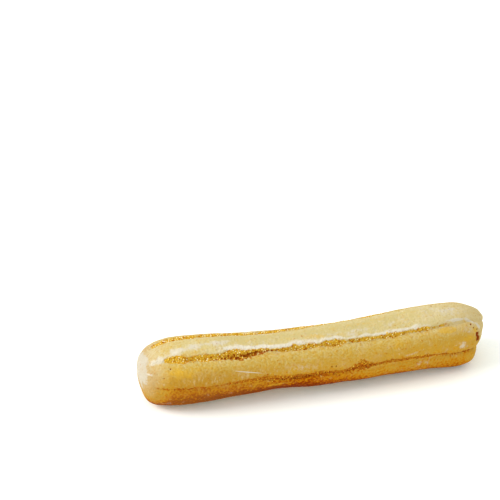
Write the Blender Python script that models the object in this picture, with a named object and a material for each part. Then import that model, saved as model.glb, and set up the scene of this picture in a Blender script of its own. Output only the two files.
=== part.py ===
"""A churro: one stick of fried dough, piped through a six-pointed star nozzle, cut to length
and lying on its side. Metres and degrees, +Z up, +X along the stick, the front facing -Y.

The stick starts as a sphere with its poles on X. Each of its points keeps its place along X
and its direction round X, and moves out to the surface that the dough has there. The origin
ends at the centre of the footprint, on the surface that the stick lies on.
"""

import math

import bmesh
import bpy
from mathutils import Matrix, Vector

# Overall size. Places along the stick run from -1, at its left tip, to 1, at its right tip.
# Directions round it are in degrees: 0 faces the front, 90 the top and -90 the table.
LENGTH = 0.110
RADIUS = 0.0106  # from the middle of the stick to the crest of a rib

# Where the whole stick is thicker or thinner: (share of the radius, place, reach).
WAIST = (-0.11, -0.02, 0.58)
LEFT_SWELL = (0.053, -0.80, 0.25)

# Where one side is: (share of the radius, place, reach, direction, reach in degrees).
LOW_DENT = (-0.074, -0.25, 0.15, -45, 35)
LOW_BULGE = (0.14, 0.90, 0.20, -45, 35)

# The line that the stick follows: its ends swing back from the front.
BOW = 0.0042
BOW_SKEW = 0.0004  # by how much more at the right end, and less at the left

# The grooves between the ribs: (direction at the left tip, at the right tip, depth at the left
# tip, at the right tip), the depths as shares of the radius.
GROOVES = (
    (107, 126, 0.13, 0.12),
    (52, 49, 0.14, 0.15),
    (-1, -17, 0.05, 0.15),
    (-73, -59, 0.14, 0.14),
    (-129, -127, 0.14, 0.14),
    (170, 178, 0.13, 0.13),
)
GROOVE_SPREAD = 11.0  # degrees over which a groove's flank rises to a third of its depth
WANDER = 1.6  # degrees that a groove strays from its line
WANDER_TURNS = 5.0  # radians of that wave along half of the stick
WANDER_STEP = 2.0  # radians by which the wave of each groove is ahead of the last one's

# Slow lumps: (share of the radius, lumps round the stick, turns along half of it, phase).
LUMPS = ((0.016, 2, 3.1, 0.6), (0.012, 3, -7.3, 2.0), (0.008, 1, 12.7, 4.2))

# The two ends round over, blunter underneath than on top. The larger the power, the blunter.
BLUNTNESS = 19.5  # power at the sides
UNEVENNESS = 13.5  # by how much it is less on top and more underneath
LEFT_FILL = 0.90  # share of a groove's depth that has closed up at the left tip
RIGHT_FILL = 0.15
FILL_REACH = 20  # power that keeps the closing up near the tips
NOTCH = 0.0012  # how far the grooves cut back into the right end, so that each rib has its lobe
SLANT = 0.0022  # how far the upper ribs outrun the middle of the right end
LOBE_REACH = 10  # power that keeps both near the tip

PRESSED = 0.0009  # depth of the flat that the stick's own weight has pressed underneath

SEGMENTS_ROUND = 96
RINGS_ALONG = 50

DOUGH_COLOUR = (0.62, 0.40, 0.11, 1.0)
DOUGH_ROUGHNESS = 0.45


def bell(distance, reach):
    """1 where the distance is 0, falling smoothly to a third at the reach."""
    return math.exp(-((distance / reach) ** 2))


def apart(turn, other):
    """Degrees between two directions round the stick."""
    return abs((turn - other + 180) % 360 - 180)


def swollen(along, turn):
    """Share of the full radius at a place, with the waist, the swells and the lumps."""
    angle = math.radians(turn)
    share = 1.0
    for size, place, reach in (WAIST, LEFT_SWELL):
        share += size * bell(along - place, reach)
    for size, place, reach, side, side_reach in (LOW_DENT, LOW_BULGE):
        share += size * bell(along - place, reach) * bell(apart(turn, side), side_reach)
    for size, count, turns, phase in LUMPS:
        share += size * math.cos(count * angle + turns * along + phase)
    return share


def rim_at(along, turn):
    """Share of the radius left as an end rounds over: 1 on the body, 0 at the tip."""
    power = BLUNTNESS - UNEVENNESS * math.sin(math.radians(turn))
    return math.sqrt(max(0.0, 1 - abs(along) ** power))


def grooves_at(along, turn):
    """How deep the grooves are here, as a share of the radius, and how near one is, up to 1."""
    fill = 1 - (RIGHT_FILL if along > 0 else LEFT_FILL) * abs(along) ** FILL_REACH
    share = (along + 1) / 2
    depth = 0.0
    nearness = 0.0
    for number, (left, right, left_depth, right_depth) in enumerate(GROOVES):
        line = left + (right - left) * share
        line += WANDER * math.sin(WANDER_TURNS * along + WANDER_STEP * number)
        near = math.exp(-apart(turn, line) / GROOVE_SPREAD)
        depth += (left_depth + (right_depth - left_depth) * share) * fill * near
        nearness += near
    return depth, nearness


def dough_point(start):
    """Where a point of the unit sphere lies on the dough, before the stick is set down."""
    along = start.x
    angle = math.atan2(start.z, -start.y)
    turn = math.degrees(angle)
    rim = rim_at(along, turn)
    depth, nearness = grooves_at(along, turn)
    radius = RADIUS * rim * (1 - rim * depth) * swollen(along, turn)
    lobe = max(along, 0.0) ** LOBE_REACH * min(2 * rim, 1.0)
    back = BOW * along**2 + BOW_SKEW * along**3
    return Vector((
        LENGTH / 2 * along + lobe * (SLANT * math.sin(angle) - NOTCH * nearness),
        back - radius * math.cos(angle),
        radius * math.sin(angle),
    ))


def set_down(points):
    """Presses the underside flat and brings the centre of the footprint to the origin."""
    table = min(point.z for point in points) + PRESSED
    low = [min(point[axis] for point in points) for axis in (0, 1)]
    high = [max(point[axis] for point in points) for axis in (0, 1)]
    origin = Vector(((low[0] + high[0]) / 2, (low[1] + high[1]) / 2, table))
    for point in points:
        point.z = max(point.z, table)
        point -= origin


def dough_material():
    material = bpy.data.materials.new("fried_dough")
    material.use_nodes = True
    shader = material.node_tree.nodes["Principled BSDF"]
    shader.inputs["Base Color"].default_value = DOUGH_COLOUR
    shader.inputs["Roughness"].default_value = DOUGH_ROUGHNESS
    shader.inputs["Metallic"].default_value = 0.0
    return material


def make_churro(collection):
    """The whole stick, as one closed solid."""
    sphere = bmesh.new()
    bmesh.ops.create_uvsphere(
        sphere,
        u_segments=SEGMENTS_ROUND,
        v_segments=RINGS_ALONG,
        radius=1.0,
        matrix=Matrix.Rotation(math.radians(90), 4, "Y"),
    )
    points = [dough_point(vertex.co) for vertex in sphere.verts]
    set_down(points)
    for vertex, point in zip(sphere.verts, points):
        vertex.co = point
    mesh = bpy.data.meshes.new("churro")
    sphere.to_mesh(mesh)
    sphere.free()
    mesh.shade_smooth()
    mesh.materials.append(dough_material())
    churro = bpy.data.objects.new("churro", mesh)
    collection.objects.link(churro)
    return churro


def main():
    for leftover in list(bpy.data.objects):
        bpy.data.objects.remove(leftover)
    collection = bpy.data.collections.new("churro")
    bpy.context.scene.collection.children.link(collection)
    make_churro(collection)


main()
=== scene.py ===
# %% [markdown]
# # One churro
#
# A churro is a stick of dough that is pushed through a star nozzle, cut off and fried in oil.
# The nozzle gives it six ribs with a groove between each two. In the oil the ribs set into a
# smooth crust, while the dough in the grooves tears open as it swells and shows its crumb.
#
# This lesson grows one such stick on a finished model of its plain form. The ribs, the torn
# grooves and the loose grains of crumb are shapes, made with Geometry Nodes. The colours of the
# crust are nodes too, so the whole stick can be changed from a few named numbers.
#
# Places along the stick run from -1, at its left tip, to 1, at its right tip. Directions round
# it are in degrees: 0 faces the front, 90 the top and -90 the table.

# %% Load the plain form
import math

import bpy
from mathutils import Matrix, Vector


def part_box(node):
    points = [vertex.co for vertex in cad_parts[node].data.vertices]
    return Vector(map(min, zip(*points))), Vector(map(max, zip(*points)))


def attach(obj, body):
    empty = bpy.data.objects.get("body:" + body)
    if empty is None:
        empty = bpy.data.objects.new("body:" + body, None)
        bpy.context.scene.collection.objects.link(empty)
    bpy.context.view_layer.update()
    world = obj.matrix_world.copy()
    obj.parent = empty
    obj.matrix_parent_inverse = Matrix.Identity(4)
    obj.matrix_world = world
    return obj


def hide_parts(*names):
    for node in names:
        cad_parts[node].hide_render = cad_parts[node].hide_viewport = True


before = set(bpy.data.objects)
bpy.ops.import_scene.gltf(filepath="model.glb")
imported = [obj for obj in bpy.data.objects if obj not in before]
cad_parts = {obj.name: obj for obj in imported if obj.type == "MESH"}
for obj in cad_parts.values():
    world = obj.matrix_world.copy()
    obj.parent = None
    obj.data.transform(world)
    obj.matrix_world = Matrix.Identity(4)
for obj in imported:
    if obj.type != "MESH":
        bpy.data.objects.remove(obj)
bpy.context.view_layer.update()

low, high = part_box("churro")
print("The plain form is", [round(1000 * side, 1) for side in high - low], "mm")

# %% [markdown]
# ## Nodes written as sums
#
# A tree of nodes for a stick of dough holds hundreds of Math nodes. Placed one at a time they
# would hide what they work out. So one small class stands for the output of a node, and a sum
# written with it adds the Math node for each of its signs. Any other node comes from its
# `node` method, which sets the node up first and then fills its sockets. Geometry Nodes and
# materials share these nodes, so one function can give both of them the same pattern.

# %% A value that adds nodes
class Value:
    """The output of a node. Sums with it add Math nodes."""

    def __init__(self, tree, socket=None):
        self.tree = tree
        self.socket = socket

    def node(self, kind, settings=None, sockets=None, output=0):
        """Adds a node, sets it up, gives its sockets numbers or values, and returns an output."""
        node = self.tree.nodes.new(kind)
        for name, setting in (settings or {}).items():
            if name == "stops":
                fill_ramp(node.color_ramp, setting)
            else:
                setattr(node, name, setting)
        for name, value in (sockets or {}).items():
            if isinstance(value, Value):
                self.tree.links.new(value.socket, node.inputs[name])
            else:
                node.inputs[name].default_value = value
        return Value(self.tree, node.outputs[output])

    def math(self, operation, *others):
        terms = dict(enumerate((self, *others)))
        return self.node("ShaderNodeMath", {"operation": operation}, terms)

    def __add__(self, other):
        return self.math("ADD", other)

    def __mul__(self, other):
        return self.math("MULTIPLY", other)

    def __rmul__(self, other):
        return self.math("MULTIPLY", other)

    def __sub__(self, other):
        return self.math("SUBTRACT", other)

    def __rsub__(self, other):
        return (self * -1.0).math("ADD", other)

    def __truediv__(self, other):
        return self.math("DIVIDE", other)

    def __pow__(self, other):
        return self.math("POWER", other)

    def __abs__(self):
        return self.math("ABSOLUTE")

    def parts(self):
        """The three numbers of a vector."""
        return [self.node("ShaderNodeSeparateXYZ", None, {0: self}, axis) for axis in range(3)]


def fill_ramp(ramp, stops):
    """Gives a colour ramp its (place, colour) stops."""
    while len(ramp.elements) < len(stops):
        ramp.elements.new(1.0)
    for element, (place, colour) in zip(ramp.elements, stops):
        element.position = place
        element.color = colour


# %% Sums that come back often
def greater(value, other):
    return value.math("MAXIMUM", other)


def lesser(value, other):
    return value.math("MINIMUM", other)


def vector(x, y, z):
    return x.node("ShaderNodeCombineXYZ", None, {0: x, 1: y, 2: z})


def step(value, start, end):
    """0 before the start and 1 after the end, with a smooth rise between them."""
    settings = {"interpolation_type": "SMOOTHSTEP"}
    return value.node("ShaderNodeMapRange", settings, {0: value, 1: start, 2: end})


def bell(distance, reach):
    """1 where the distance is 0, falling smoothly to a third at the reach."""
    return (((distance / reach) ** 2) * -1.0).math("EXPONENT")


def offset(turn, line):
    """Degrees from a line to a direction, less than 0 on the line's lower side."""
    return (turn - line).math("WRAP", 180.0, -180.0)


NOISE_SCALE = 0.6  # makes a lump of Blender's noise about as wide as one unit
NOISE_SPREAD = 6.0  # its values lie within a sixth of 0.5, and this takes them out to -1 and 1
SEED_SHIFT = 7.3  # lumps by which each seed moves the pattern


def noise(point, size, detail=2.0, roughness=0.5, stretch=(1, 1, 1), seed=0):
    """Smooth noise from about -1 to 1, whose lumps are about as wide as the size, in mm."""
    scale = tuple(1 / (size * share) for share in stretch)
    sockets = {0: point, 1: scale, 2: (seed * SEED_SHIFT,) * 3}
    scaled = point.node("ShaderNodeVectorMath", {"operation": "MULTIPLY_ADD"}, sockets)
    sockets = {"Vector": scaled, "Scale": NOISE_SCALE, "Detail": detail, "Roughness": roughness}
    plain = point.node("ShaderNodeTexNoise", None, sockets)
    return plain * NOISE_SPREAD - NOISE_SPREAD / 2


print("Operators ready:", sum(name.startswith("__") for name in vars(Value)))

# %% [markdown]
# ## The star and the stick
#
# The stick follows one rule. Each point of it has a place along and a direction round, and the
# rule says how far out the dough reaches there: a round bar, less six grooves, swollen a
# little here and there, rounded over at both ends. The plain form was made by the same rule
# with coarse faces, so the measures below are its measures, and the fine stick lies on it. Only
# at the right end do they differ, by up to two millimetres, because there the upper ribs of the
# fine stick outrun the lower ones further.

# %% Measures of the stick
MM = 0.001
HALF_LENGTH = 55 * MM
RADIUS = 10.6 * MM  # from the middle of the stick to the crest of a rib
PRESSED = 0.9 * MM  # depth of the flat that the stick's weight has pressed underneath
BOW, BOW_SKEW = 4.2 * MM, 0.4 * MM  # how far the tips swing back, and the right one more
WAIST = (-0.11, -0.02, 0.58)  # share of the radius, place, reach
LEFT_SWELL = (0.053, -0.80, 0.25)
LOW_DENT = (-0.074, -0.25, 0.15, -45, 35)  # share, place, reach, direction, reach in degrees
LOW_BULGE = (0.14, 0.90, 0.20, -45, 35)
LUMPS = (  # share of the radius, lumps round the stick, radians along half of it, phase
    (0.016, 2, 3.1, 0.6),
    (0.012, 3, -7.3, 2.0),
    (0.008, 1, 12.7, 4.2),
)
GROOVES = (  # direction at the left tip and the right, depth at each as a share of the radius
    (107, 126, 0.13, 0.12),
    (52, 49, 0.14, 0.15),
    (-1, -17, 0.05, 0.15),
    (-73, -59, 0.14, 0.14),
    (-129, -127, 0.14, 0.14),
    (170, 178, 0.13, 0.13),
)
GROOVE_SPREAD = 11.0  # degrees over which a groove's flank rises to a third of its depth
WANDER = 1.6  # degrees that a groove strays from its line, in a wave
WANDER_TURNS, WANDER_STEP = 5.0, 2.0  # radians: along half the stick, and from groove to groove
BLUNTNESS = 19.5  # power that rounds the ends over: the larger, the blunter
UNEVENNESS = 13.5  # how much less it is on top, and more underneath
LEFT_FILL, RIGHT_FILL = 0.90, 0.15  # share of a groove's depth that has closed up at each tip
FILL_REACH = 20  # power that keeps the closing up near the tips
NOTCH = 1.2 * MM  # how far the grooves cut back into the right end
SLANT, SHORTENING = 3.6 * MM, 0.8 * MM  # how far its upper ribs outrun it, and all fall short
LOBE_REACH = 10  # power that keeps these three near the tip


# %% The rule of the stick
def swollen(along, turn):
    """Share of the full radius at a place, with the waist, the swells and the lumps."""
    share = 1.0
    for size, place, reach in (WAIST, LEFT_SWELL):
        share = size * bell(along - place, reach) + share
    for size, place, reach, side, side_reach in (LOW_DENT, LOW_BULGE):
        share = size * bell(along - place, reach) * bell(offset(turn, side), side_reach) + share
    for size, count, turns, phase in LUMPS:
        wave = turn * math.radians(count) + along * turns + phase
        share = size * wave.math("COSINE") + share
    return share


def groove_line(along, number):
    """Direction in which a groove lies."""
    left, right = GROOVES[number][:2]
    wave = (along * WANDER_TURNS + WANDER_STEP * number).math("SINE") * WANDER
    return (along + 1) * ((right - left) / 2) + left + wave


def rim_at(along, turn):
    """Share of the radius left as an end rounds over: 1 on the body, 0 at the tip."""
    power = BLUNTNESS - turn.math("RADIANS").math("SINE") * UNEVENNESS
    return greater(1 - abs(along) ** power, 0.0).math("SQRT")


def grooves_at(along, turn):
    """How deep the grooves are, as a share of the radius, and how near one is, up to 1."""
    right_side = along.math("GREATER_THAN", 0.0)
    most = right_side * (RIGHT_FILL - LEFT_FILL) + LEFT_FILL
    fill = 1 - most * abs(along) ** FILL_REACH
    depth, nearness = 0.0, 0.0
    for number, (_, _, left_depth, right_depth) in enumerate(GROOVES):
        away = abs(offset(turn, groove_line(along, number)))
        near = (away / -GROOVE_SPREAD).math("EXPONENT")
        here = (along + 1) * ((right_depth - left_depth) / 2) + left_depth
        depth = here * near + depth
        nearness = near + nearness
    return depth * fill, nearness


def stick_point(along, turn, size):
    """Where the dough lies, before the stick is set down."""
    angle = turn.math("RADIANS")
    rim = rim_at(along, turn)
    depth, nearness = grooves_at(along, turn)
    radius = size["Radius"] * rim * (1 - rim * depth) * swollen(along, turn)
    lobe = greater(along, 0.0) ** LOBE_REACH * lesser(rim * 2, 1.0)
    outrun = angle.math("SINE") * SLANT - nearness * NOTCH - SHORTENING
    back = along**2 * size["Bow"] + along**3 * BOW_SKEW
    return vector(
        along * size["Half length"] + lobe * outrun,
        back - radius * angle.math("COSINE"),
        radius * angle.math("SINE"),
    )


print("Ribs:", len(GROOVES), "on a stick", 2 * HALF_LENGTH / MM, "mm long")

# %% [markdown]
# ## Where the crust has torn
#
# In each groove a band of crumb shows, lying mostly on the groove's upper flank, with ragged
# edges. The edge of the rib above it is a thin raised lip, and the lowest edge of the band is
# a dark crease, brown and darkened further by painted shade. A band is wide at the left and
# thins out to the right, and the lower its groove lies, the browner it has baked.
#
# These patterns could be painted, but a painted tear has no depth. Here every pattern is a
# field: a number that is above 0 inside the pattern and falls away from its edge. The shape
# stores the fields on its points, and both the relief and the colours are cut from them.

# %% Measures of the bands of crumb
TO_MM = HALF_LENGTH / MM  # mm from the middle of the stick, place 0, to a tip, place 1
DEGREE = math.radians(9.6)  # mm along the surface for one degree, 9.6 mm out from the middle
DRIFT_SIZE, SWELL_SIZE = 7.0, 3.5  # mm, of the noise that bends a band and that widens it
BEND = 0.7  # degrees that a band strays from its line
WIDTH_CHANGE, EDGE_CHANGE = 0.28, 0.5  # how its half width varies: as a share, and in degrees
TAPER = 6.0  # mm over which a band narrows to half at its ends
LIP_RISE = 3.0  # degrees from the upper edge of a band to the crest of its lip
LIP_REACH, LIP_LOSS = 5.8, 2.2  # its reach in degrees at the left, and how much less at the right
LIP_CHANGE, LEAST_LIP = 1.6, 2.0  # degrees by which that varies, and its least
CREASE_DROP = 0.55  # share of the half width by which a crease lies below a band's middle
CREASE_SHARE, CREASE_REACH = 0.45, 2.2  # its reach: that share of the half width, and degrees
BAKED_REACH = 6  # degrees by which the browning spreads past a band
OUTSIDE = -9.0  # mm, what the field of the crumb says far from any band
BANDS = (
    # groove, first place, last place, degrees above the groove's line, half width in degrees at
    # the left tip, half width at the right tip, how brown
    (0, -0.91, 0.42, 5.5, 6.0, 2.0, -0.30),
    (1, -0.865, 0.73, 2.4, 7.4, 1.2, 0.0),
    (2, -0.93, 0.95, 2.5, 0.9, 1.2, 0.9),
    (3, -0.88, 0.86, 2.0, 6.5, 3.5, 0.6),
    (4, -0.90, 0.66, 3.0, 5.0, 4.0, 0.5),
    (5, -0.86, 0.88, 1.0, 3.0, 6.0, 0.3),
)
RISES = (  # groove, place, reach, degrees that the band climbs, degrees that it widens
    (0, 0.05, 0.28, 6.5, -0.5),
    (1, -0.50, 0.09, 0.5, 2.0),
    (1, -0.31, 0.08, 2.8, -1.6),
    (1, 0.04, 0.05, 0.0, 1.6),
    (1, 0.12, 0.34, 2.0, 0.0),
    (2, -0.38, 0.13, 5.0, 4.2),
    (2, -0.20, 0.10, -1.0, 4.0),
    (2, 0.00, 0.20, 3.0, 5.8),
    (2, 0.20, 0.07, 8.0, 5.5),
    (2, 0.33, 0.12, 10.0, 2.6),
    (2, 0.50, 0.13, 8.0, 1.8),
    (2, 0.66, 0.06, 4.0, 3.0),
    (4, 0.30, 0.12, 4.0, 3.0),
    (5, -0.20, 0.15, -3.0, 3.0),
)
# A lip's whiteness is pale dough and partly a painted highlight along its crest.
LIPS = (  # groove, place, reach, how white the lip above the band is there
    (0, -0.30, 0.50, 0.45),
    (1, -0.81, 0.07, 0.55),
    (1, -0.34, 0.20, 1.3),
    (1, 0.08, 0.28, 0.75),
    (1, 0.43, 0.21, 0.85),
    (3, 0.00, 0.60, 0.70),
    (4, 0.10, 0.50, 0.80),
    (5, -0.10, 0.60, 0.50),
)
# A crease's darkness is partly browning and partly painted shade.
CREASES = (  # groove, place, reach, how dark and deep the crease is there
    (0, -0.50, 0.50, 0.35),
    (1, -0.42, 0.19, 1.05),
    (1, 0.05, 0.30, 0.20),
    (2, -0.72, 0.22, 0.6),
    (2, -0.08, 0.34, 0.78),
    (2, 0.24, 0.07, 0.55),
    (2, 0.84, 0.16, 0.8),
    (3, 0.10, 0.60, 0.7),
    (4, 0.20, 0.50, 0.6),
    (5, -0.30, 0.50, 0.6),
)
print("Bands of crumb:", len(BANDS), "with", len(LIPS), "stretches of lip")

# %% Fields of the bands
def along_groove(along, number, marks):
    """The sum of the marks that one groove has at each place."""
    total = 0.0
    for groove, place, reach, share in marks:
        if groove == number:
            total = bell(along - place, reach) * share + total
    return total


def band_fields(along, turn, skin):
    """Fields of the bands of crumb: inside them, on their lips, in their creases, and how brown."""
    crumb, lip, crease, baked = OUTSIDE, 0.0, 0.0, 0.0
    for number, first, last, middle, left_half, right_half, brown in BANDS:
        drift = noise(skin, DRIFT_SIZE, 1.0, stretch=(1, 3, 3), seed=number)
        swell = noise(skin, SWELL_SIZE, 1.0, stretch=(1, 3, 3), seed=number + 10)
        middle = drift * BEND + middle
        half = (along + 1) * ((right_half - left_half) / 2) + left_half
        for groove, place, reach, climb, widening in RISES:
            if groove == number:
                near = bell(along - place, reach)
                middle = near * climb + middle
                half = near * widening + half
        ends = lesser(along - first, last - along) * TO_MM
        narrowed = step(ends, -1.0, TAPER) * 0.5 + 0.5
        half = half * (swell * WIDTH_CHANGE + 1.0) * narrowed + swell * EDGE_CHANGE
        above = offset(turn, groove_line(along, number)) - middle
        crumb = greater(lesser((half - abs(above)) * DEGREE, ends), crumb)
        shown = step(ends, -1.0, 3.0) * along_groove(along, number, LIPS)
        broad = swell * LIP_CHANGE + LIP_REACH - step(along, -0.15, 0.20) * LIP_LOSS
        lip = greater(bell(above - half - LIP_RISE, greater(broad, LEAST_LIP)) * shown, lip)
        dark = step(ends, -1.0, 1.0) * along_groove(along, number, CREASES)
        deepest = bell(above + half * CREASE_DROP, half * CREASE_SHARE + CREASE_REACH)
        crease = greater(deepest * dark, crease)
        baked = bell(above, half + BAKED_REACH) * brown + baked
    return crumb, lip, crease, baked


print("Fields of the bands ready")

# %% [markdown]
# ## Marks on the crust
#
# No two churros are alike. This one has a pale closed cap where its left end was pinched off,
# chalky patches, pale where the crust has dried and partly painted highlight, golden spots
# where it was thin, and burnt pits where it touched the pan. Each mark is an oval on the
# surface, given by where it is and how large it is, and its edge is later made ragged by noise.

# %% Where the marks lie
# Pale dried patches, whose cream is partly a painted highlight
CHALK_AND_HIGHLIGHT = (  # place, direction, half length and half width in mm, tilt in degrees, strength
    (-0.90, 56, 2.9, 1.5, 8, 1.2),
    (-0.80, 68, 3.6, 1.6, 14, 1.1),
    (-0.70, 75, 3.6, 1.6, 12, 1.1),
    (-0.58, 79, 4.6, 1.4, 5, 1.0),
    (-0.52, 66, 4.4, 0.8, 0, 0.8),
    (-0.14, 15, 1.6, 1.0, 40, 0.15),
    (0.51, 10, 2.2, 0.4, 10, 0.5),
    (0.65, -3, 1.6, 0.5, 5, 0.5),
    (-0.953, 28, 1.1, 0.45, -20, 0.9),
    (0.79, 56.5, 3.6, 0.62, -3, 1.7),
    (0.88, 49.5, 2.8, 0.62, -34, 1.8),
    (0.925, 35, 1.8, 0.5, -66, 1.6),
    (0.84, 38, 3.0, 1.3, -20, 0.25),
    (0.59, -17, 2.2, 0.8, 15, 0.1),
    (0.82, 4, 1.9, 1.4, 10, 0.8),
    (0.15, 69, 16.0, 1.2, 0, 0.15),
    (0.74, 80, 7.0, 2.4, 0, 0.4),
    (-0.30, -150, 5.0, 1.2, 5, 0.7),
    (0.55, 150, 6.0, 1.5, 10, 0.7),
    (-0.62, 140, 7.0, 1.4, -5, 0.6),
)
GOLDEN = (
    (-0.79, 31, 6.0, 2.4, -9, 0.5),
    (-0.40, -17, 2.6, 0.8, 62, 0.4),
    (0.73, 39.5, 3.3, 1.2, -5, 3.0),
    (0.86, 17, 2.4, 1.5, 0, 0.7),
    (-0.02, 72, 5.0, 1.4, 0, 0.5),
    (-0.27, -18, 6.0, 0.7, 0, 0.7),
    (0.90, 27, 1.6, 2.0, 0, 0.7),
    (-0.40, 150, 6.0, 2.0, 10, 0.8),
    (0.30, -95, 9.0, 2.0, 5, 0.6),
)
BURNT = (
    (0.918, 18, 0.8, 1.0, 0, 1.0),
    (0.926, 8, 1.0, 1.1, 20, 1.0),
    (0.921, 13, 0.6, 0.9, 0, 0.9),
    (0.917, 28, 0.3, 0.35, 0, 0.8),
    (0.893, 33, 0.3, 0.4, 0, 0.7),
    (0.880, 41, 0.35, 0.4, 0, 0.6),
    (-0.847, 116, 0.4, 0.5, 0, 1.1),
    (0.034, 9, 0.32, 0.32, 0, 0.9),
    (0.060, 8.8, 0.32, 0.32, 0, 0.9),
    (-0.843, 37, 0.28, 0.28, 0, 0.8),
    (-0.884, 20.8, 0.25, 0.25, 0, 0.8),
    (0.69, 103, 0.4, 0.5, 0, 0.8),
    (-0.50, -160, 0.6, 0.5, 0, 1.0),
    (0.20, 150, 0.5, 0.5, 0, 1.0),
)
SCRATCH = ((-0.430, 20.2, 5.4, 0.18, -11, 1.0),)
print("Marks:", len(CHALK_AND_HIGHLIGHT), "chalky,", len(GOLDEN), "golden,", len(BURNT), "burnt")

# %% The field of an oval
def oval_field(along, turn, ovals):
    """Above 0 inside the ovals and up to their strength in the middle of each."""
    field = -1.0
    for place, direction, half_length, half_width, tilt, strength in ovals:
        run = (along - place) * TO_MM
        rise = offset(turn, direction) * DEGREE
        cosine, sine = math.cos(math.radians(tilt)), math.sin(math.radians(tilt))
        lengthways = (run * cosine + rise * sine) / half_length
        across = (rise * cosine - run * sine) / half_width
        away = (lengthways**2 + across**2).math("SQRT")
        field = greater((1 - away) * strength, field)
    return field


print("Oval fields ready")

# %% [markdown]
# ## Relief
#
# The tree moves each point of the smooth stick in or out by a fraction of a millimetre. Crumb
# lies lower than the ribs and is rough. Lips stand proud. The crust of a rib is never flat: it
# has slow dents, faint lines from the nozzle, a few blisters, and pinholes where steam got out.

# %% Small forms
RIB_FORMS = (  # size in mm, detail, how drawn out along the stick, seed, height in mm
    (5.5, 1.0, 1.6, 5, 0.13),  # slow dents
    (1.6, 2.0, 1.4, 6, 0.05),  # small lumps
    (0.9, 1.0, 14, 7, 0.03),  # faint lines from the nozzle
)
PINHOLE_DEPTH, CHALK_RISE, PIT_DEPTH, CREASE_DEPTH = 0.09, 0.06, 0.35, 0.22  # mm
PEBBLE_SIZE, PEBBLE_HEIGHT, ROUGHNESS_HEIGHT = 0.62, 0.13, 0.14  # mm, of the crumb
PINHOLE_CELLS = 0.42  # cells to a mm, some of which hold a pinhole


def ragged(field, skin, size=1.1, amount=0.45):
    """A field whose edge is broken up by noise."""
    return noise(skin, size, 4.0, 0.7, seed=3) * amount + field


def pinholes(skin):
    """1 in the middle of small holes that lie scattered over the crust."""
    cells = {"Vector": skin, "Scale": PINHOLE_CELLS}
    away = skin.node("ShaderNodeTexVoronoi", None, cells, 0)
    chance = skin.node("ShaderNodeTexVoronoi", None, cells, 1).parts()[0]
    return step(away, 0.10, 0.04) * step(chance, 0.62, 0.70)


def pebbles(skin, size):
    """Close round bumps, from -1 in the gaps to 1 on their tops."""
    cells = {"Vector": skin, "Scale": 1 / size}
    return 1 - skin.node("ShaderNodeTexVoronoi", None, cells) * 2.4


def relief(skin, crumb, lip, crease, chalky, burnt, size):
    """How far out each point moves, in mm."""
    torn = step(ragged(crumb, skin), -0.1, 0.3)
    rib = 0.0
    for width, detail, drawn_out, seed, tall in RIB_FORMS:
        rib = noise(skin, width, detail, stretch=(drawn_out, 1, 1), seed=seed) * tall + rib
    rib = pinholes(skin) * -PINHOLE_DEPTH + rib
    rib = step(chalky, 0.0, 0.5) * CHALK_RISE + rib
    rib = step(burnt, -0.1, 0.6) * -PIT_DEPTH + rib
    rough = pebbles(skin, PEBBLE_SIZE) * PEBBLE_HEIGHT
    rough = noise(skin, 1.3, 3.0, 0.7, seed=8) * ROUGHNESS_HEIGHT + rough
    inner = rough - size["Crumb depth"]
    lifted = lip * (noise(skin, 2.4, 2.0, stretch=(2, 1, 1), seed=9) * 0.6 + 0.8)
    return rib + torn * (inner - rib) + lifted * size["Lip height"] - crease * CREASE_DEPTH


print("Relief ready, with", len(RIB_FORMS), "sizes of lumps and lines on the ribs")

# %% [markdown]
# ## The dough
#
# The stick starts as a sphere whose poles are its tips, because a sphere is closed and has no
# seam. Its rings crowd together towards the poles, so they are first spread out again. The
# tree then has four steps: lay the sphere on the rule of the stick, store the fields, add the
# relief along the surface's own direction, and press the underside flat on the table.

# %% Start and end of a tree
def start_tree(name, sizes):
    """A geometry tree with named inputs, and a value for each of them."""
    tree = bpy.data.node_groups.new(name, "GeometryNodeTree")
    for side in ("INPUT", "OUTPUT"):
        tree.interface.new_socket("Geometry", in_out=side, socket_type="NodeSocketGeometry")
    for title, number in sizes.items():
        kind = "NodeSocketInt" if isinstance(number, int) else "NodeSocketFloat"
        tree.interface.new_socket(title, in_out="INPUT", socket_type=kind)
    given = tree.nodes.new("NodeGroupInput")
    return tree, {socket.name: Value(tree, socket) for socket in given.outputs}


def end_tree(geometry, material):
    """Makes copies real, gives everything its material and hands it over."""
    real = geometry.node("GeometryNodeRealizeInstances", None, {0: geometry})
    sockets = {"Geometry": real, "Material": material}
    finished = real.node("GeometryNodeSetMaterial", None, sockets)
    handed = geometry.tree.nodes.new("NodeGroupOutput")
    geometry.tree.links.new(finished.socket, handed.inputs[0])


def store(geometry, name, value, kind="FLOAT", domain="POINT"):
    """Keeps a value on the geometry under a name."""
    settings = {"data_type": kind, "domain": domain}
    sockets = {"Geometry": geometry, "Name": name, "Value": value}
    return geometry.node("GeometryNodeStoreNamedAttribute", settings, sockets)


def stored(geometry, name, kind="FLOAT"):
    return geometry.node("GeometryNodeInputNamedAttribute", {"data_type": kind}, {"Name": name})


def grow(name, tree, sizes, start=None):
    """Runs a tree on a mesh and returns what it made: a plain mesh in its own object."""
    carrier = bpy.data.objects.new(name + "_carrier", start or bpy.data.meshes.new(name))
    bpy.context.scene.collection.objects.link(carrier)
    growing = carrier.modifiers.new("growing", "NODES")
    growing.node_group = tree
    for item in tree.interface.items_tree:
        if item.name in sizes:
            growing[item.identifier] = sizes[item.name]
    evaluated = carrier.evaluated_get(bpy.context.evaluated_depsgraph_get())
    mesh = bpy.data.meshes.new_from_object(evaluated)
    mesh.name = name
    bpy.data.objects.remove(carrier)
    mesh.shade_smooth()
    piece = bpy.data.objects.new(name, mesh)
    bpy.context.scene.collection.objects.link(piece)
    return piece


print("Trees can be started, ended and grown")

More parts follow.
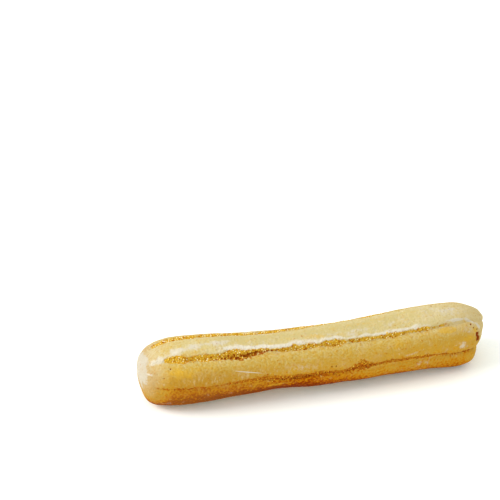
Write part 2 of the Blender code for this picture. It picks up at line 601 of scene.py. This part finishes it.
# %% From skin to place and direction
def places(skin):
    """Place along and direction round of a point, from its place on a plain bar in mm."""
    x, y, z = skin.parts()
    turn = z.math("ARCTAN2", y * -1.0).math("DEGREES")
    return x / TO_MM, turn


def bar_point(along, turn):
    """A point's place on a plain bar with rounded ends, in mm. Patterns are laid out on it."""
    angle = turn.math("RADIANS")
    radius = rim_at(along, turn) * (RADIUS / MM)
    return vector(
        along * TO_MM,
        radius * angle.math("COSINE") * -1.0,
        radius * angle.math("SINE"),
    )


print("The plain bar is", 2 * TO_MM, "mm long and", round(2 * RADIUS / MM, 1), "mm thick")

# %% Build the tree of the dough
DOUGH_SIZES = {
    "Sides": 220,
    "Rings": 440,
    "Half length": HALF_LENGTH,
    "Radius": RADIUS,
    "Bow": BOW,
    "Pressed": PRESSED,
    "Crumb depth": 0.12,
    "Lip height": 0.15,
}
RING_SPREAD = 0.3  # how much closer the rings lie in the middle of the stick than on a sphere
dough_finish = bpy.data.materials.new("fried_dough")

dough_tree, size = start_tree("churro_dough", DOUGH_SIZES)
sphere = size["Radius"].node(
    "GeometryNodeMeshUVSphere",
    None,
    {"Segments": size["Sides"], "Rings": size["Rings"], "Radius": 1.0},
)
x, y, z = sphere.node("GeometryNodeInputPosition").parts()
latitude = z.math("ARCSINE")
latitude = latitude - (latitude * 2).math("SINE") * (RING_SPREAD / 2)
direction = (x * -1.0).math("ARCTAN2", y * -1.0).math("DEGREES")
skin = bar_point(latitude.math("SINE"), direction)
dough = store(sphere, "skin", skin, "FLOAT_VECTOR")
print("The sphere has", DOUGH_SIZES["Sides"], "sides and", DOUGH_SIZES["Rings"], "rings")

# %% Lay the sphere on the stick
skin = stored(dough, "skin", "FLOAT_VECTOR")
along, turn = places(skin)
place = stick_point(along, turn, size)
dough = dough.node("GeometryNodeSetPosition", None, {"Geometry": dough, "Position": place})
lowest = dough.node("GeometryNodeBoundBox", None, {0: dough}, 1).parts()
highest = dough.node("GeometryNodeBoundBox", None, {0: dough}, 2).parts()
print("Nodes up to the plain stick:", len(dough_tree.nodes))

# %% Store the fields and add the relief
crumb, lip, crease, baked = band_fields(along, turn, skin)
fields = {
    "crumb": crumb,
    "lip": lip,
    "crease": crease,
    "baked": baked,
    "chalky": oval_field(along, turn, CHALK_AND_HIGHLIGHT),
    "golden": oval_field(along, turn, GOLDEN),
    "burnt": oval_field(along, turn, BURNT),
}
for name, field in fields.items():
    dough = store(dough, name, field)
fields = {name: stored(dough, name) for name in fields}
lift = relief(
    skin, fields["crumb"], fields["lip"], fields["crease"], fields["chalky"], fields["burnt"], size
)
outward = dough.node("GeometryNodeInputNormal").parts()
shift = vector(*(lift * axis * MM for axis in outward))
dough = dough.node("GeometryNodeSetPosition", None, {"Geometry": dough, "Offset": shift})
print("Fields on the dough:", ", ".join(fields))

# %% Press it on the table and hand it over
table = lowest[2] + size["Pressed"]
x, y, z = dough.node("GeometryNodeInputPosition").parts()
place = vector(
    x - (lowest[0] + highest[0]) * 0.5,
    y - (lowest[1] + highest[1]) * 0.5,
    greater(z, table) - table,
)
dough = dough.node("GeometryNodeSetPosition", None, {"Geometry": dough, "Position": place})
end_tree(dough, dough_finish)
churro = grow("churro_dough", dough_tree, DOUGH_SIZES)
print("Dough:", len(dough_tree.nodes), "nodes,", len(churro.data.polygons), "faces")

# %% [markdown]
# ## Grains of crumb
#
# Torn crumb is a heap of tiny walls and crusts that stand free of each other, finer than the
# points of the dough can follow. So grains are strewn over the bands: small uneven pebbles of
# 20 faces, half a millimetre wide, half sunk into the crumb. Their distances are kept
# even, as crumb is close and regular. All together they are one piece.

# %% Build the tree of the grains
GRAIN_SIZES = {
    "Grain": 0.25 * MM,
    "Spacing": 0.52 * MM,
    "Seed": 4,
}
DENSEST = 1.2e7  # points on a square metre, before those that are too close are left out
CLEAR_OF_TABLE = 0.5 * MM  # no grain starts lower than this
crumb_finish = bpy.data.materials.new("fried_crumb")

grain_tree, size = start_tree("crumb_grains", GRAIN_SIZES)
surface = size["Geometry"]
skin = stored(surface, "skin", "FLOAT_VECTOR")
torn = ragged(stored(surface, "crumb"), skin)
height = surface.node("GeometryNodeInputPosition").parts()[2]
clear = height.math("GREATER_THAN", CLEAR_OF_TABLE)
chance = step(torn, 0.0, 0.35) * clear
grains = surface.node(
    "GeometryNodeDistributePointsOnFaces",
    {"distribute_method": "POISSON"},
    {
        "Mesh": surface,
        "Distance Min": size["Spacing"],
        "Density Max": DENSEST,
        "Density Factor": chance,
        "Seed": size["Seed"],
    },
)
print("Grains stand at least", round(GRAIN_SIZES["Spacing"] / MM, 2), "mm apart")

# %% Turn each point into an uneven grain
LEAST, MOST = (0.55, 0.55, 0.5), (1.35, 1.2, 1.1)  # shares by which its three widths vary
GRAIN_FACES = 20
pebble = grains.node(
    "GeometryNodeMeshIcoSphere", None, {"Radius": size["Grain"], "Subdivisions": 1}
)
between = grains.node(
    "FunctionNodeRandomValue",
    {"data_type": "FLOAT_VECTOR"},
    {"Min": LEAST, "Max": MOST, "Seed": 11},
)
turned = grains.node(
    "FunctionNodeRandomValue",
    {"data_type": "FLOAT_VECTOR"},
    {"Min": (0, 0, 0), "Max": (math.tau, math.tau, math.tau), "Seed": 12},
)
grains = grains.node(
    "GeometryNodeInstanceOnPoints",
    None,
    {"Points": grains, "Instance": pebble, "Rotation": turned, "Scale": between},
)
tone = grains.node("FunctionNodeRandomValue", {"data_type": "FLOAT"}, {"Seed": 13}, 1)
grains = store(grains, "tone", tone, domain="INSTANCE")
end_tree(grains, crumb_finish)
grains = grow("crumb_grains", grain_tree, GRAIN_SIZES, churro.data)
print("Grains:", len(grains.data.polygons) // GRAIN_FACES, "of", GRAIN_FACES, "faces")

# %% [markdown]
# ## The crust's finish
#
# Frying colours a churro by how long each side lay in the oil: pale straw on top, gold on its
# flanks, chestnut brown near the table, where the darkest band is partly painted shade. Over
# that lie a dusty haze and freckles, cream on the lips, on the cap and on the chalky patches,
# and brown in the crumb, the creases and the pits. The cream of the lips and chalky patches is
# partly a painted highlight, the haze is partly painted sheen where it lies as frost, and the
# brown of the creases is partly painted shade.
# A ramp gives the first, and each of the others is mixed over it by its own mask. The masks
# are cut from the stored fields with the same noise as the relief, so colour and shape agree.
#
# A step from one number to another makes a mask: it is 0 before the first and 1 after the
# second, whether they run up or down. Masks multiplied together hold only where all of them do.
# The values in capitals at the top of a cell say how strongly each layer covers what is under
# it, from 0 to 1.

# %% Colours
def paint(red, green, blue):
    """A colour as screens count it, from 0 to 255, turned into light."""
    return tuple(((part / 255 + 0.055) / 1.055) ** 2.4 for part in (red, green, blue)) + (1.0,)


CRUST = (  # share of the way from the top, 0, to the underside, 1
    (0.00, paint(191, 174, 116)),
    (0.13, paint(197, 180, 124)),
    (0.25, paint(188, 160, 84)),
    (0.34, paint(184, 144, 55)),
    (0.44, paint(186, 140, 44)),
    (0.52, paint(186, 122, 12)),
    (0.58, paint(172, 98, 1)),
    # from here to 0.72: the darkest brown, partly browning and partly painted shade where the stick
    # meets the table
    (0.62, paint(148, 64, 0)),
    (0.66, paint(120, 40, 0)),
    (0.72, paint(124, 46, 0)),
    (0.84, paint(176, 96, 10)),
    (1.00, paint(198, 124, 26)),
)
CREAM = paint(204, 196, 176)
# cream of the lips, whitened further as a painted highlight
LIP = paint(214, 207, 188)
TOP_HAZE = paint(208, 192, 150)
SIDE_HAZE = paint(192, 160, 100)
GOLD = paint(204, 160, 44)
CHESTNUT = paint(158, 74, 0)
# darkest crease brown: partly charred crumb, partly painted shade
CHAR_AND_SHADE = paint(114, 42, 0)
CRUMB = paint(204, 162, 48)
FRECKLE = paint(180, 112, 14)
# a brown for painted shade, laid over the left flank and the left tip
SHADE_BROWN = paint(150, 102, 34)
PIT = paint(128, 54, 6)
CLOSED = paint(184, 177, 160)
print("Crust:", len(CRUST), "stops from its top to its underside")

# %% Helpers for a finish
def mixed(share, base, over):
    """One colour laid over another by a share from 0 to 1."""
    settings = {"data_type": "RGBA", "blend_type": "MIX"}
    return share.node("ShaderNodeMix", settings, {0: share, 6: base, 7: over}, 2)


def open_material(material):
    """The material's surface shader and a value that starts its sums."""
    material.use_nodes = True
    tree = material.node_tree
    return tree.nodes["Principled BSDF"], Value(tree)


def attribute(start, name, output=2):
    """What the shape has stored: output 2 gives a number, output 1 a vector."""
    return start.node("ShaderNodeAttribute", {"attribute_name": name}, None, output)


print("Finishes can be mixed")

# %% Patterns of the crust
shader, start = open_material(dough_finish)
skin = attribute(start, "skin", 1)
along, turn = places(skin)
torn = step(ragged(attribute(start, "crumb"), skin), -0.05, 0.22)
lip = attribute(start, "lip")
crease = attribute(start, "crease")
baked = attribute(start, "baked")
chalky = ragged(attribute(start, "chalky"), skin, 1.1, 0.45)
golden = ragged(attribute(start, "golden"), skin, 1.5, 0.22)
burnt = ragged(attribute(start, "burnt"), skin, 0.5, 0.25)
coarse = noise(skin, 7.0, 3.0, 0.6, stretch=(1.8, 1, 1), seed=21)
mottle = noise(skin, 2.4, 4.0, 0.7, stretch=(1.4, 1, 1), seed=22)
fine = noise(skin, 0.42, 1.0, 0.6, seed=23)
lines = noise(skin, 0.8, 2.0, 0.5, stretch=(12, 1, 1), seed=24)
flecks = noise(skin, 0.8, 2.0, 0.6, seed=27)
dust = noise(skin, 1.6, 4.0, 0.7, stretch=(1.3, 1, 1), seed=26)
streaks = noise(skin, 0.4, 3.0, 0.6, stretch=(1, 2.5, 2.5), seed=25)
print("Patterns:", len(start.tree.nodes), "nodes")

# %% How far each spot is browned, with painted shade where it meets the table
PALE_LEAN = math.radians(5)  # how far the palest line leans from the top towards the front
PALER_TIPS = 0.46  # share of the browning that the sides of the tips lack
BROWNER_LEFT, PALER_RIGHT, BROWNER_BANDS = 0.05, 0.12, 0.04  # on the lower side
_, y, z = skin.parts()
raised = (z * math.cos(PALE_LEAN) - y * math.sin(PALE_LEAN)) / (RADIUS / MM)
down = lesser(greater(raised, -1.0), 1.0).math("ARCCOSINE") / math.pi
tips = step(abs(along), 0.82, 0.99) * step(down, 0.80, 0.56)
down = down * (1 - tips * PALER_TIPS)
lower = step(down, 0.40, 0.58)
leaning = step(along, 0.0, -0.8) * BROWNER_LEFT - step(along, -0.1, 0.45) * PALER_RIGHT
leaning = leaning + baked * BROWNER_BANDS
uneven = coarse * 0.012 + lines * 0.008 + mottle * 0.032 + fine * 0.065
browning_and_shade = down + lower * leaning + uneven * (lower * 0.1 + 0.8)
colour = start.node("ShaderNodeValToRGB", {"stops": CRUST}, {0: browning_and_shade})
print("Browning:", len(start.tree.nodes), "nodes so far")

# %% Gold, haze, the tips and painted shade at the left
GILDING, HAZE, RIGHT_HAZE, LEFT_CHALK = 0.35, 0.5, 0.4, 0.35
SHADE, TIP_SHADE, FRECKLES, GOLD_SPOTS = 0.35, 0.4, 0.25, 0.6
gilded = step(mottle + coarse * 0.5, 0.1, 1.4) * GILDING
gilded = greater(gilded, step(flecks + mottle * 0.4, 0.2, 1.5) * GILDING)
colour = mixed(gilded * step(down, 0.66, 0.50), colour, GOLD)
# this haze colour serves the dusty haze and the frost below, which is partly painted sheen
haze_and_sheen = mixed(step(down, 0.12, 0.30), TOP_HAZE, SIDE_HAZE)
dusty = step(dust - coarse * 0.5 - flecks * 0.5, -0.2, 1.6) * step(down, 0.64, 0.34)
colour = mixed(dusty * HAZE, colour, haze_and_sheen)
colour = mixed(step(along, 0.5, 0.8) * step(down, 0.34, 0.20) * RIGHT_HAZE, colour, TOP_HAZE)
colour = mixed(step(along, -0.80, -0.95) * step(down, 0.40, 0.24) * LEFT_CHALK, colour, CLOSED)
# painted shade: the lower flank towards the left is darkened with a brown
shaded_left_flank = step(along, -0.10, -0.70) * step(along, -0.97, -0.82) * step(down, 0.27, 0.40)
colour = mixed(shaded_left_flank * SHADE, colour, SHADE_BROWN)
# painted shade: the left tip, all but its top, is darkened with the same brown
shaded_left_tip = step(along, -0.86, -0.95) * step(raised, 0.75, 0.35)
colour = mixed(shaded_left_tip * TIP_SHADE, colour, SHADE_BROWN)
colour = mixed(step(fine + mottle * 0.5, 0.7, 1.8) * FRECKLES, colour, FRECKLE)
colour = mixed(step(golden, 0.0, 0.6) * GOLD_SPOTS, colour, GOLD)
print("Gold and haze:", len(start.tree.nodes), "nodes so far")

# %% Frost and chalk, partly painted sheen and highlight; scratch, pinholes and cap
FROST_SHEEN, CHALK_HIGHLIGHT, SCRATCHED, PRICKED, CAP, LIP_WHITE = 0.9, 0.8, 0.8, 0.3, 0.80, 0.9
CAP_MIDDLE, CAP_EDGE = 80.0, -0.942  # direction of the middle of the cap, and its place there
# frost on the front of the left half: partly frost, partly painted sheen in the haze colour
frost_and_sheen = bell(turn - 14, 8.0) * step(along, -0.85, -0.7) * step(along, 0.15, -0.10)
colour = mixed(step(streaks + dust * 0.4, -0.1, 1.0) * frost_and_sheen * FROST_SHEEN, colour, haze_and_sheen)
# the chalky patches: cream dough, partly a painted highlight
colour = mixed(step(chalky, -0.1, 0.8) * CHALK_HIGHLIGHT, colour, CREAM)
colour = mixed(step(oval_field(along, turn, SCRATCH), 0.0, 0.5) * SCRATCHED, colour, CREAM)
colour = mixed(pinholes(skin) * PRICKED, colour, CHESTNUT)
aside = abs(offset(turn, CAP_MIDDLE))
edge = aside * -0.0002 - step(aside, 35.0, 110.0) * 0.028 + CAP_EDGE
cap = step(ragged((edge - along) * TO_MM, skin, 1.6, 0.5), -0.1, 0.6)
colour = mixed(cap * (dust * 0.14 + CAP), colour, CLOSED)
# the lips: cream dough with a painted highlight along their crest
colour = mixed(step(lip + dust * 0.25 + flecks * 0.15, 0.15, 1.0) * LIP_WHITE, colour, LIP)
print("Chalk, cap and lips:", len(start.tree.nodes), "nodes so far")

# %% Crumb, creases and pits
CRUMB_FRECKLES, BAKED_CRUMB, OUTLINE, CREASE_DARK, CREASE_DARKEST = 0.8, 0.75, 0.4, 0.8, 0.7
tones = mixed(step(fine, 0.1, 1.2) * CRUMB_FRECKLES, CRUMB, FRECKLE)
tones = mixed(baked * BAKED_CRUMB, tones, CHESTNUT)
colour = mixed(torn, colour, tones)
outline = bell(attribute(start, "crumb") - 0.05, 0.35) * step(fine + mottle, 0.0, 1.0)
colour = mixed(outline * OUTLINE, colour, FRECKLE)
# the creases: partly browning, partly painted shade
specks = crease + fine * (crease * 0.3 + 0.35)
colour = mixed(step(specks, 0.35, 0.8) * CREASE_DARK, colour, CHESTNUT)
colour = mixed(step(specks, 0.80, 1.25) * CREASE_DARKEST, colour, CHAR_AND_SHADE)
colour = mixed(step(burnt, 0.0, 0.4), colour, PIT)
print("Crumb and creases:", len(start.tree.nodes), "nodes so far")

# %% Shine and the finest relief
CRUST_ROUGHNESS, CRUMB_ROUGHER, LIP_SMOOTHER, CHALK_SMOOTHER = 0.48, 0.35, 0.14, 0.10
BUMP_STRENGTH, BUMP_DISTANCE = 0.55, 0.12 * MM
rough = torn * CRUMB_ROUGHER + CRUST_ROUGHNESS - step(lip, 0.3, 0.8) * LIP_SMOOTHER
rough = rough - step(chalky, 0.0, 0.4) * CHALK_SMOOTHER + mottle * 0.04
height = mottle * 0.4 + fine * (torn * 1.2 + 0.8)
sockets = {"Strength": BUMP_STRENGTH, "Distance": BUMP_DISTANCE, "Height": height}
bump = start.node("ShaderNodeBump", None, sockets)
for socket, value in (("Base Color", colour), ("Roughness", rough), ("Normal", bump)):
    start.tree.links.new(value.socket, shader.inputs[socket])
shader.inputs["Specular IOR Level"].default_value = 0.01
print("Crust:", len(start.tree.nodes), "nodes")

# %% [markdown]
# ## The crumb's finish
#
# Each grain has one tone of its own, between dark gold and pale straw. A grain that lies deep
# in a crease is darker, partly browner and partly by painted shade. The number that says which
# tone comes with each grain from its tree.

# %% Finish of the grains
GRAINS = (  # tone of a grain, from browned to pale
    (0.00, paint(166, 84, 3)),
    (0.22, paint(200, 132, 14)),
    (0.50, paint(224, 182, 58)),
    (0.80, paint(236, 216, 146)),
    (1.00, paint(244, 230, 180)),
)
shader, start = open_material(crumb_finish)
tone = attribute(start, "tone")
crease = attribute(start, "crease")
# grains deep in a crease are darkened: partly browning, partly painted shade
deep = step(crease, 0.15, 0.8)
shade = tone - deep * 0.25 - attribute(start, "baked") * 0.6
colour = start.node("ShaderNodeValToRGB", {"stops": GRAINS}, {0: shade})
colour = mixed(deep * step(tone, 0.60, 0.45) * 0.9, colour, CHAR_AND_SHADE)
start.tree.links.new(colour.socket, shader.inputs["Base Color"])
shader.inputs["Roughness"].default_value = 0.6
shader.inputs["Specular IOR Level"].default_value = 0.06
print("Crumb:", len(start.tree.nodes), "nodes")

# %% [markdown]
# ## Floor, light and camera
#
# Food is often lit so softly that its form is drawn by its own colours and by one soft shadow.
# Here white surroundings give most of the light, and one large window at the left gives the
# rest. The floor is white too, and it glows a little, as a light table does, so that the shadow
# of the stick stays light.

# %% The floor
FLOOR_REACH = 3.0
sides = ((-1, -1), (1, -1), (1, 1), (-1, 1))
corners = [(x * FLOOR_REACH, y * FLOOR_REACH, 0) for x, y in sides]
floor_mesh = bpy.data.meshes.new("floor")
floor_mesh.from_pydata(corners, [], [(0, 1, 2, 3)])
floor = bpy.data.objects.new("floor", floor_mesh)
bpy.context.scene.collection.objects.link(floor)
paper = bpy.data.materials.new("floor")
shader, start = open_material(paper)
shader.inputs["Base Color"].default_value = (0.97, 0.98, 0.95, 1)
shader.inputs["Roughness"].default_value = 0.9
shader.inputs["Emission Color"].default_value = (0.7, 1.0, 0.8, 1)
shader.inputs["Emission Strength"].default_value = 0.10
shader.inputs["Specular IOR Level"].default_value = 0.0
floor_mesh.materials.append(paper)
print("Floor:", 2 * FLOOR_REACH, "m wide")

# %% Lights
MIDDLE = Vector((0, 0, 9.5 * MM))  # of the stick
WINDOW_PLACE, WINDOW_WIDTH, WINDOW_POWER = Vector((-1.25, 0.12, 0.86)), 0.8, 18.0
SURROUNDINGS = 1.0  # brightness of the white world


def soft_light(name, place, width, power):
    """A square area light that faces the stick."""
    light = bpy.data.lights.new(name, "AREA")
    light.size = width
    light.energy = power
    lamp = bpy.data.objects.new(name, light)
    lamp.location = place
    lamp.rotation_euler = (MIDDLE - lamp.location).to_track_quat("-Z", "Y").to_euler()
    bpy.context.scene.collection.objects.link(lamp)


soft_light("window", WINDOW_PLACE, WINDOW_WIDTH, WINDOW_POWER)
world = bpy.data.worlds.new("studio")
world.use_nodes = True
background = world.node_tree.nodes["Background"]
background.inputs["Color"].default_value = (1, 1, 1, 1)
background.inputs["Strength"].default_value = SURROUNDINGS
bpy.context.scene.world = world
bpy.context.scene.view_settings.view_transform = "Standard"
print("Window:", round(WINDOW_PLACE.length, 2), "m away,", WINDOW_WIDTH, "m wide")

# %% The camera
AZIMUTH, ELEVATION = math.radians(-13.4), math.radians(30)
DISTANCE, ASIDE, ABOVE = 364.07 * MM, 20.5 * MM, 31.4 * MM
LENS, SENSOR_WIDTH = 85, 36  # mm, as Blender counts them
back = Vector((
    math.sin(AZIMUTH) * math.cos(ELEVATION),
    -math.cos(AZIMUTH) * math.cos(ELEVATION),
    math.sin(ELEVATION),
))
right = Vector((math.cos(AZIMUTH), math.sin(AZIMUTH), 0))
up = back.cross(right)
camera_data = bpy.data.cameras.new("camera")
camera_data.lens = LENS
camera_data.sensor_width = SENSOR_WIDTH
camera_data.clip_start = 0.01
camera = bpy.data.objects.new("camera", camera_data)
camera.location = MIDDLE - ASIDE * right + ABOVE * up + DISTANCE * back
camera.rotation_euler = back.to_track_quat("Z", "Y").to_euler()
bpy.context.scene.collection.objects.link(camera)
bpy.context.scene.camera = camera
print("Camera at", [round(part, 3) for part in camera.location])

# %% [markdown]
# ## Hand over
#
# Both pieces belong to the one body of the model. The dough stands for its plain form.

# %% Join the pieces to the model
for piece in (churro, grains):
    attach(piece, "root")
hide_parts("churro")
